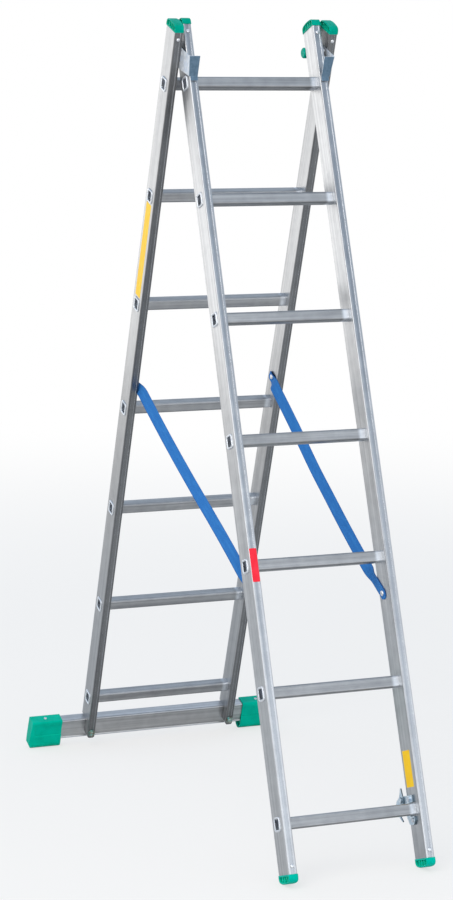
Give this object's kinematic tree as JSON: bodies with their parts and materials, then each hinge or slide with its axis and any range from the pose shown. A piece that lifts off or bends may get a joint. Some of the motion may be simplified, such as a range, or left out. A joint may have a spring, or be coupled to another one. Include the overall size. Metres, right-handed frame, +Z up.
{
  "type": "combination ladder",
  "caption": "Two-section aluminium combination ladder standing as an A-frame, with spreader straps, guide rollers, gravity hooks and a stabiliser bar.",
  "frame": {"origin": "floor level, midway between the front feet and the rear shoes", "axes": "+Z up, +X to the right seen from the front, -Y towards the front section's feet"},
  "size_m": [0.67, 1.3436, 1.8593],
  "materials": {
    "aluminium": "mill finish, drawn along the extrusion",
    "green_plastic": "moulded, slight sheen",
    "blue_webbing": "woven flat webbing",
    "zinc_steel": "bright zinc plated",
    "yellow_zinc_steel": "yellow passivated zinc",
    "rivets": "bright rivets and screws"
  },
  "bodies": {
    "rear_section": {"rear_stile_left": "aluminium", "rear_stile_right": "aluminium", "rear_rung_1": "aluminium", "rear_rung_2": "aluminium", "rear_rung_3": "aluminium", "rear_rung_4": "aluminium", "rear_rung_5": "aluminium", "rear_rung_6": "aluminium", "rear_rung_7": "aluminium", "rear_top_cap_left": "green_plastic", "rear_top_cap_right": "green_plastic", "rear_cap_rivets": "rivets", "guide_bracket_left": "zinc_steel", "guide_bracket_right": "zinc_steel", "guide_bracket_rivets": "rivets", "guide_roller_axles": "zinc_steel", "stabiliser_bar": "aluminium", "stabiliser_shoe_left": "green_plastic", "stabiliser_shoe_right": "green_plastic", "stabiliser_bolts": "yellow_zinc_steel", "stabiliser_washers": "yellow_zinc_steel", "stabiliser_nuts": "yellow_zinc_steel", "shoe_screws": "rivets", "rear_strap_rivets": "rivets"},
    "straps": {"strap_left": "blue_webbing", "strap_right": "blue_webbing"},
    "front_section": {"front_stile_left": "aluminium", "front_stile_right": "aluminium", "front_rung_1": "aluminium", "front_rung_2": "aluminium", "front_rung_3": "aluminium", "front_rung_4": "aluminium", "front_rung_5": "aluminium", "front_rung_6": "aluminium", "front_rung_7": "aluminium", "front_top_cap_left": "green_plastic", "front_top_cap_right": "green_plastic", "front_foot_left": "green_plastic", "front_foot_right": "green_plastic", "front_cap_rivets": "rivets", "hook_plate_left": "zinc_steel", "hook_plate_right": "zinc_steel", "hook_bolts": "zinc_steel", "hook_latch_pins": "zinc_steel", "front_strap_rivets": "rivets"},
    "roller_left": {"guide_roller_left": "green_plastic"},
    "roller_right": {"guide_roller_right": "green_plastic"},
    "latch_left": {"hook_latch_left": "zinc_steel"},
    "latch_right": {"hook_latch_right": "zinc_steel"}
  },
  "joints": [
    {"name": "fold", "type": "hinge", "parent": "rear_section", "child": "straps", "pos_m": [0.015, -0.0907, 1.722], "axis": [1, 0, 0], "range_deg": [0, 39.8], "deforming": ["strap_left", "strap_right"]},
    {"name": "extension", "type": "slide", "parent": "straps", "child": "front_section", "axis": [0, 0.3322, 0.9432], "range_m": [0, 1.12]},
    {"name": "roller_spin_left", "type": "hinge", "parent": "rear_section", "child": "roller_left", "pos_m": [0.015, 0.02488, 1.78174], "axis": [1, 0, 0], "continuous": true},
    {"name": "roller_spin_right", "type": "hinge", "parent": "rear_section", "child": "roller_right", "pos_m": [0.015, 0.02488, 1.78174], "axis": [1, 0, 0], "continuous": true},
    {"name": "latch_swing_left", "type": "hinge", "parent": "front_section", "child": "latch_left", "pos_m": [0.015, -0.55327, 0.13102], "axis": [1, 0, 0], "range_deg": [0, 35]},
    {"name": "latch_swing_right", "type": "hinge", "parent": "front_section", "child": "latch_right", "pos_m": [0.015, -0.55327, 0.13102], "axis": [1, 0, 0], "range_deg": [0, 35]}
  ]
}
